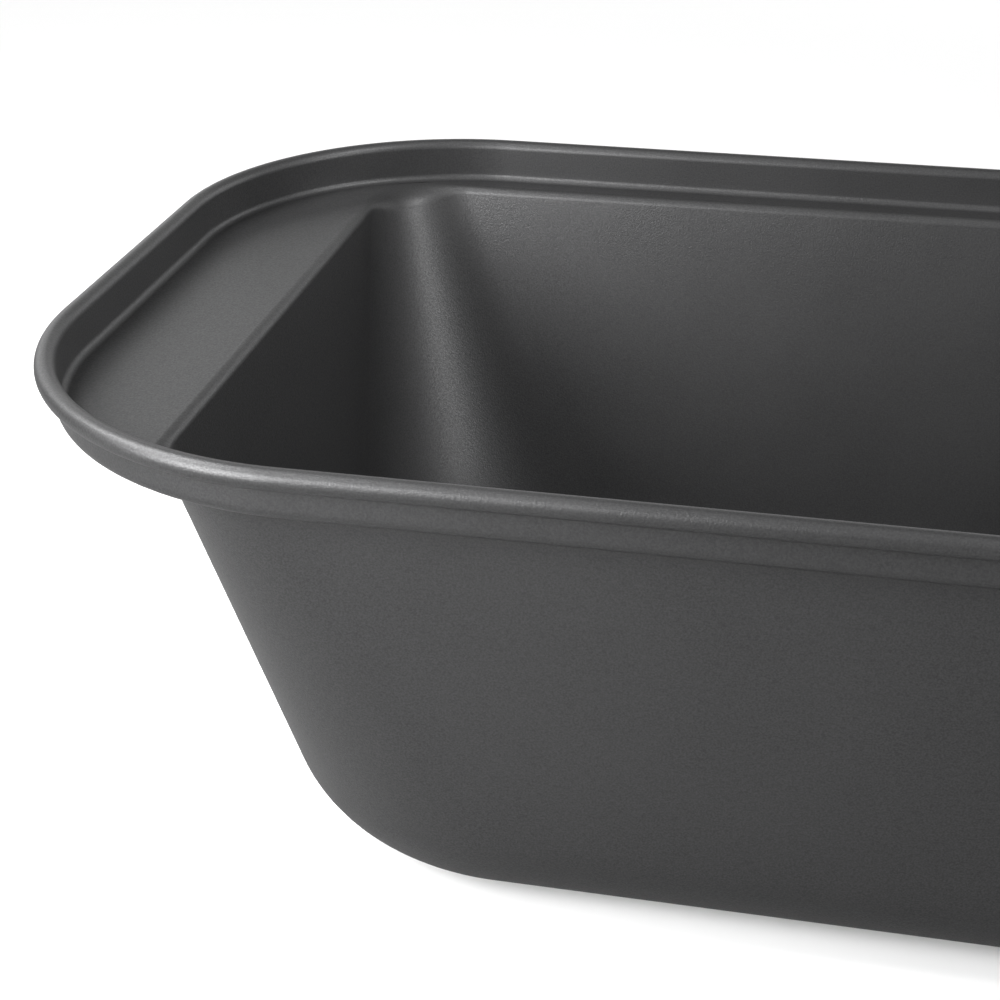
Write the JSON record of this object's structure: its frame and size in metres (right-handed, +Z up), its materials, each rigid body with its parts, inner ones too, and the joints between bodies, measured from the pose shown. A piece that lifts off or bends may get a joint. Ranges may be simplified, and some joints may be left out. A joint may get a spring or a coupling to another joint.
{
  "type": "loaf pan",
  "caption": "Dark non-stick loaf pan with rounded corners, a curled round rim, a ledge around the mouth that widens into grips at both ends, and tapered walls.",
  "frame": {"origin": "centre of the underside of the flat base", "axes": "+X along the length of the pan, +Y across its width, +Z up out of the mouth"},
  "size_m": [0.25, 0.1266, 0.0693],
  "materials": {
    "coated_steel": "semi-gloss dark grey non-stick coating with fine metallic fleck",
    "wire_steel": "drawn wire, galvanised"
  },
  "bodies": {
    "root": {"pan_body": "coated_steel", "rim_wire": "wire_steel"}
  },
  "joints": []
}
